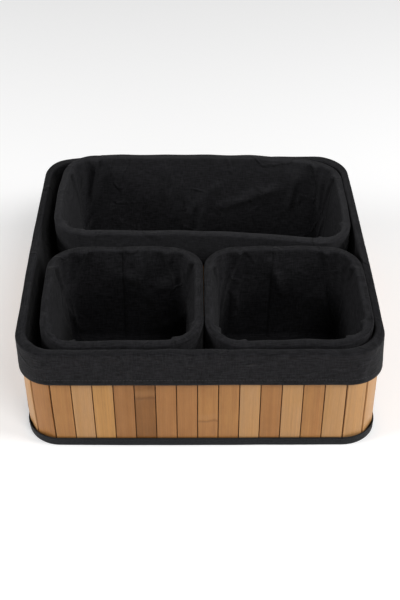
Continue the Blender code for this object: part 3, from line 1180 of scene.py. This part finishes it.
def wall_profile(basket):
    """Up the inside, over the rim, down the cuff, with a turn-in at the foot."""
    inside, outside, low = basket.liner_layer, basket.cuff_layer, box_layer(basket)
    foot = basket.floor + CLOTH / 2
    corners = [
        (low - 0.0035, foot),  # turned in over the floor
        (low, foot + 0.0040),
        (inside * 0.4 + low * 0.6, basket.top - 0.050),  # hollow, as it hangs
        (inside, basket.top - 0.010),
        (inside, basket.top),
        (outside, basket.top),
        (outside, basket.hem),
    ]
    return smooth_profile(corners, RIM_ROUND, CLOTH_STEP)


def corner_distances(basket, rule):
    """Distances of the middles of the four corners round the ring."""
    radius = ring_radius(basket, rule)
    straight = 2 * (basket.half + rule - radius)
    arc = radius * math.pi / 2
    first = straight[0] / 2 + arc / 2
    steps = (0, straight[1] + arc, straight[0] + arc, straight[1] + arc)
    return first + np.cumsum(steps)


width = run_of(wall_profile(tray))[-1]
print(f"the tray's wall band is {width * 1000:.0f} mm wide")


# %% Slack and gathers
def slack(basket, band, rim, draw):
    """How far soft waves and sharper creases bulge into the basket."""
    name, around, up, length = basket.name, band.around, band.up, band.length
    soft = waves(around, up, length, "soft " + name, 0.075) * 0.5 + 0.5
    height = 0.45 * np.clip(soft, 0, 1)
    for _ in range(CREASES[name]):
        start = (draw.uniform(0, length), draw.uniform(0.02, rim - 0.005))
        heading = draw.choice((0.5, 1.0, 1.3, 1.57, 1.9, 2.5)) + draw.uniform(-0.25, 0.25)
        size = (draw.uniform(0.02, 0.06), draw.uniform(0.0028, 0.0060))
        share = draw.uniform(0.25, 0.75)
        height = height + share * ridge(around, up, length, start, heading, *size)
    on_wall = np.clip((rim - up) / SLACK_ENDS, 0, 1) * np.clip(up / SLACK_ENDS, 0, 1)
    return side_room(band.outward, WALL_ROOM[name]) * np.clip(height, 0, 1) * on_wall


def gathers(basket, band, rim, draw):
    """How far the spare cloth of each inside corner stands off it, in soft waves."""
    height = np.zeros(band.grid.shape[:2])
    down = rim - band.up
    for corner in corner_distances(basket, basket.liner_layer):
        near = gap_to(band.distance, corner, band.length)
        fold = draw.uniform(0.010, 0.014)
        lean = draw.uniform(-0.10, 0.10)
        wave = np.cos(2 * math.pi * (near + lean * down) / fold)
        deep = np.clip(1 - down / draw.uniform(0.04, 0.08), 0.15, 1)
        height += (0.5 + 0.5 * wave) * np.exp(-((near / 0.016) ** 2)) * deep
    room = 0.0006 if basket.name == "tray" else 0.0012
    return height * room * np.clip(1 + down / 0.004, 0, 1)


print("slack bulges by up to", max(max(r) for r in WALL_ROOM.values()) * 1000, "mm")


# %% Pleats
def pleats(basket, band, rim, draw):
    """Folds beside every inside corner, steep on one side, and painted shade along their
    creases.
    """
    folds = np.zeros(band.grid.shape[:2])
    crease_shade = np.zeros_like(folds)
    if basket.name == "tray":
        return folds, crease_shade
    down = np.maximum(rim - band.up, 0.0)
    for corner in corner_distances(basket, basket.liner_layer):
        for side in (-1, 1):
            begin = corner + side * draw.uniform(0.010, 0.024)
            lean = side * draw.uniform(0.10, 0.35)
            near = (gap_to(band.distance, begin, band.length) + lean * down) * side
            gentle, steep = draw.uniform(0.009, 0.014), draw.uniform(0.0022, 0.0035)
            shape = np.where(near > 0, 1 - near / steep, 1 + near / gentle)
            fades = np.clip(1 - down / draw.uniform(0.035, 0.070), 0, 1)
            folds = np.maximum(folds, np.clip(shape, 0, 1) ** 1.3 * fades)
            # Painted shade along the crease at the steep side of each fold.
            crease = np.exp(-(((near - steep) / 0.0016) ** 2)) * fades
            crease_shade = np.maximum(crease_shade, crease * (band.up < rim))
    return folds, crease_shade


print("a pleat is", PLEAT * 1000, "mm deep")


# %% Make the walls
def wall_marks(name, band, rim, seam_gap, crease_shade):
    """Rubbed cloth, painted light towards the rim, and painted shade in seams and
    creases.
    """
    up = band.up
    rubbed = np.exp(-(((up - rim - 0.003) / 0.0030) ** 2))
    rubbed = rubbed + 0.7 * np.exp(-(((up - up[-1]) / 0.0015) ** 2))
    patchy = 0.75 + 0.25 * waves(band.around, up, band.length, "rubbed " + name, 0.02)
    # Painted light: the wall is lightened towards its rim, as if more strongly lit.
    painted_light = PAINTED_LIGHT_AT_RIM[name] * np.clip(up / rim, 0, 1) ** 2
    # Painted shade along the seam.
    seam_shade = np.exp(-((seam_gap / 0.0010) ** 2)) * np.where(up < rim, 1, 0.3)
    shade = np.clip(seam_shade + crease_shade, 0, 1)
    # `rubbed` holds the wear and the painted light together.
    return {"rubbed": rubbed * patchy + painted_light, "shade": shade}


def make_wall(basket):
    name = basket.name
    profile = wall_profile(basket)
    step = TRAY_STEP if name == "tray" else CLOTH_STEP
    band = lay_band(basket, profile, step, SEAM_AT[name], basket.liner_layer)
    around, up, length = band.around, band.up, band.length
    rim = up[profile[:, 0] <= basket.liner_layer + 1e-6][-1, 0]
    cuff = up[profile[:, 0] >= basket.cuff_layer - 1e-6][0, 0]

    draw = Random("creases of " + name)
    into = slack(basket, band, rim, draw) + gathers(basket, band, rim, draw)
    folds, crease_shade = pleats(basket, band, rim, draw)
    into = into + folds * PLEAT * np.clip(1 + (rim - up) / 0.006, 0, 1)

    hang = waves(around, up * 0.4, length, "cuff " + name, 0.09) * 0.5 + 0.5
    flare = np.clip((up - cuff) / (up[-1] - cuff), 0, 1) ** 1.5
    flare_starts = np.clip((up - cuff) / 0.010, 0, 1)
    out = side_room(band.outward, CUFF_ROOM[name]) * np.clip(hang, 0, 1) * flare
    seam_gap = np.minimum(around, length - around)
    seam_dip = np.exp(-((seam_gap / 0.0011) ** 2)) * SEAM_DIP * np.where(up < rim, -1, 1)
    grid = band.grid + band.outward * (out * flare_starts - into - seam_dip)[..., None]

    on_rim = 1 - np.clip(np.abs(up - (rim + cuff) / 2) / 0.010, 0, 1)
    sway = waves(around, 0.0, length, "rim " + name, 0.034) * RIM_SWAY
    grid[..., 2] += (sway - folds * RIM_DIP) * on_rim
    grid[..., 2] += waves(around, 0.0, length, "hem " + name, 0.12) * HEM_SWAY * flare
    band.grid = settle(basket, grid)
    marks = wall_marks(name, band, rim, seam_gap, crease_shade)
    mesh = band_mesh(name + "_wall", band, CUT_FROM[name], **marks)
    piece = add_piece(name + "_wall", mesh, name + "_liner", cotton)
    thicken(piece, CLOTH)
    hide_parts(name + "_liner_wall")
    return piece, band


walls = {}
for name, basket in baskets.items():
    piece, band = walls[name] = make_wall(basket)
    print(f"{piece.name}: {band.grid.shape[0]} x {band.grid.shape[1]} points")

# %% [markdown]
# ## The liner floors
#
# The floor is cut to the inside of the ring and lies on the base board. It is made of
# rings that shrink towards the middle, and rises in low soft waves, never below the
# board.

# %% Lay the floors
FLOOR_RINGS = 26
FLOOR_STEP = 0.005
TRAY_FLOOR_SWELL = 0.0004  # under the baskets; the inner floors are free to rise more
FLOOR_SWELL = 0.0022


def make_liner_floor(basket):
    name = basket.name + "_floor"
    layer = box_layer(basket) - AIR
    length = ring_length(basket, layer)
    count = round(length / FLOOR_STEP)
    distance = np.arange(count) * length / count
    x, y, _, _ = ring_place(basket, distance, layer, layer)
    shares = np.linspace(1.0, 0.0, FLOOR_RINGS, endpoint=False)
    cx, cy = basket.middle
    px = cx + shares[:, None] * (x - cx)
    py = cy + shares[:, None] * (y - cy)
    swell = waves(px, py, 0.35, "floor " + name, 0.06) * 0.5 + 0.5
    most = TRAY_FLOOR_SWELL if basket.name == "tray" else FLOOR_SWELL
    off_edge = np.clip((1 - shares[:, None]) / 0.12, 0, 1)
    z = basket.floor + CLOTH + np.clip(swell, 0, 1) * most * off_edge
    grid = settle(basket, np.stack((px, py, z), axis=-1))
    rows, columns = grid.shape[:2]
    ids = np.arange(rows * columns).reshape(rows, columns)
    after = np.roll(ids, -1, axis=1)
    quads = np.stack((ids[:-1], after[:-1], after[1:], ids[1:]), axis=-1).reshape(-1, 4)
    mesh = bpy.data.meshes.new(name)
    # A fan of triangles closes the middle.
    hub = rows * columns
    points = grid.reshape(-1, 3).tolist() + [grid[-1].mean(axis=0).tolist()]
    fan = [(int(a), int(b), hub) for a, b in zip(ids[-1], after[-1])]
    mesh.from_pydata(points, [], quads.tolist() + fan)
    uv = mesh.uv_layers.new(name="cloth").data
    for loop, corner in zip(mesh.loops, uv):
        corner.uv = mesh.vertices[loop.vertex_index].co.xy
    for mark in ("rubbed", "shade"):
        mesh.attributes.new(mark, "FLOAT", "POINT")
    mesh.shade_smooth()
    piece = add_piece(name, mesh, basket.name + "_liner", cotton)
    thicken(piece, CLOTH)
    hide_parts(basket.name + "_liner_floor")
    return piece


for basket in baskets.values():
    piece = make_liner_floor(basket)
    print(f"{piece.name}: {len(piece.data.vertices)} points")

# %% [markdown]
# ## Tapes and backing
#
# A woven tape is folded over both edges of the mat. The bottom one shows: 10 mm of it
# stands outside the slats and the rest runs in underneath. The top one hides under
# the cuff until the liner is lifted. The backing cloth is a plain gauze band that the
# slats are glued to.

# %% Fold the tapes
TAPE_STEP = 0.0024  # across a tape
AROUND_STEP = 0.004  # along it
TAPE_SEAM = 0.6  # where its ends meet, as a share of the ring
TAPE_SWAY = 0.0003
TAPE_UNDERNEATH = 0.009  # how far the bottom tape runs in under the base
GAUZE_SHORT = 0.0005  # how far the gauze stops short of the mat's edges


def add_band(basket, name, corners, rounding, material, slot, node, sway=0.0):
    """A tape or gauze band folded to these corners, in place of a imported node."""
    profile = smooth_profile(corners, rounding, TAPE_STEP)
    band = lay_band(basket, profile, AROUND_STEP, TAPE_SEAM, 0.0)
    if sway:
        swell = waves(band.around, band.up, band.length, name, 0.05) * 0.5 + 0.5
        outside = profile[:, :1] > 0
        lift = np.clip(swell, 0, 1) * sway * outside
        band.grid = band.grid + band.outward * lift[..., None]
    band.grid = settle(basket, band.grid)
    edge = np.minimum(band.up, band.up[-1] - band.up)
    mesh = band_mesh(name, band, rubbed=np.exp(-((edge / 0.0008) ** 2)) * 0.5)
    piece = add_piece(name, mesh, basket.body, material)
    thicken(piece, TAPE)
    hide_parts(basket.name + node)
    return band


def tape_sizes(basket):
    """Heights and layers of the tapes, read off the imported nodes."""
    low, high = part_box(basket.name + "_bottom_tape")
    face = high.x - basket.middle[0] - basket.half[0]
    top_low, top_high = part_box(basket.name + "_top_tape")
    return face, low.z, high.z, top_low.z, top_high.z


bands = {}
for name, basket in baskets.items():
    face, low, high, top_low, top_high = tape_sizes(basket)
    behind = basket.liner_layer + CLOTH + AIR
    back = -(SLAT + 2 * AIR)
    foot = [(face, high), (face, low), (-TAPE_UNDERNEATH, low)]
    rim = [(behind, top_low), (behind, top_high), (face, top_high), (face, top_low)]
    mat_low, mat_high = basket.mat
    gauze_band = [(back, mat_low + GAUZE_SHORT), (back, mat_high - GAUZE_SHORT)]
    tape = (twill, "binding_tape")
    bands[name] = add_band(
        basket, name + "_foot_tape", foot, 0.0016, *tape, "_bottom_tape", TAPE_SWAY
    )
    add_band(basket, name + "_rim_tape", rim, 0.0008, *tape, "_top_tape")
    backing = (gauze, "backing_cloth", "_backing_cloth")
    add_band(basket, name + "_backing", gauze_band, 0.0, *backing)
print("bands:", len(bands) * 3)

# %% [markdown]
# ## The bases
#
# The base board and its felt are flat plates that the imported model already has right.
# They stay as they are and only get their finishes.

# %% Finish the plates
for name in baskets:
    for node, material in ((name + "_base_board", board), (name + "_base_cloth", felt)):
        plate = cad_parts[node]
        plate.data.materials.clear()
        plate.data.materials.append(material)
print("plates finished:", 2 * len(baskets))

# %% [markdown]
# ## A tree that sews
#
# A row of stitches is one short loop of thread, repeated at an even pitch along a
# path. The tree resamples the path and puts a small six-sided capsule on each point,
# turned along it. Each capsule sinks a little into the cloth at both ends, so that
# only its back shows.

# %% Build the sewing tree
def sewing_tree():
    sizes = {
        "Pitch": ("Float", 0.0032),
        "Stitch Length": ("Float", 0.0025),
        "Thread Radius": ("Float", 0.00022),
        "Material": ("Material", None),
    }
    tree, bench, wire = new_tree("stitch_row", sizes)
    row = {"Curve": wire["Geometry"], "Length": wire["Pitch"]}
    row = bench.add("GeometryNodeResampleCurve", row, mode="LENGTH")
    tangent = bench.add("GeometryNodeInputTangent")
    turn = bench.add("FunctionNodeAlignRotationToVector", {"Vector": tangent}, axis="X")
    ball = {"Segments": 6, "Rings": 4, "Radius": 1.0}
    ball = bench.add("GeometryNodeMeshUVSphere", ball)
    half = wire["Stitch Length"] * 0.5
    radius = wire["Thread Radius"]
    sewn = {"Points": row, "Instance": ball, "Rotation": turn}
    sewn["Scale"] = vector_of(bench, half, radius, radius)
    sewn = bench.add("GeometryNodeInstanceOnPoints", sewn)
    sewn = bench.add("GeometryNodeSetShadeSmooth", {"Geometry": sewn})
    close_tree(bench, sewn, wire["Material"])
    return tree


stitch_tree = sewing_tree()
print("stitch_row:", len(stitch_tree.nodes), "nodes")


# %% Sew the hems and the foot tapes
HEM_STITCH = 0.0065  # above the hem
THREAD_LIFT = 0.00005


def sew(name, band, row, body):
    """A closed row of stitches along one row of a band's points."""
    path = band.grid[row] + band.outward[row] * THREAD_LIFT
    curve = bpy.data.curves.new(name, "CURVE")
    curve.dimensions = "3D"
    spline = curve.splines.new("POLY")
    spline.points.add(len(path) - 1)
    flat = np.concatenate((path, np.ones((len(path), 1))), axis=1)
    spline.points.foreach_set("co", flat.astype(np.float32).ravel())
    spline.use_cyclic_u = True
    mesh = run_tree(stitch_tree, curve, name, material=thread)
    return add_piece(name, mesh, body)


hems = {}
for name, basket in baskets.items():
    band = walls[name][1]
    row = int(np.argmin(np.abs(band.up - (band.up[-1] - HEM_STITCH))))
    hems[name] = sew(name + "_hem_stitches", band, row, name + "_liner")
    sew(name + "_foot_stitches", bands[name], 1, basket.body)
print("stitch rows:", 2 * len(hems))

# %% [markdown]
# ## The sizes the liners were cut to
#
# The liners are loose sheets, and the size each was cut to is worked out here. The
# wall band's length is the way round the inside, and its width is the run of its
# profile, from the floor over the rim to the hem.

for name, basket in baskets.items():
    piece, band = walls[name]
    length, width = round(float(band.length), 3), round(float(band.up[-1, 0]), 3)
    size, rest, sewn = (length, width), [name + "_slats"], [hems[name]]
    layer = box_layer(basket) - AIR
    inside = 2 * (basket.half + layer)
    area = inside.prod() - (4 - math.pi) * ring_radius(basket, layer) ** 2
    floor = bpy.data.objects[name + "_floor"]
    size = tuple(round(float(v), 3) for v in inside)
    rest = [name + "_base_board"]
    area * 0.999
    print(f"{piece.name} cut {length * 1000:.0f} x {width * 1000:.0f} mm")
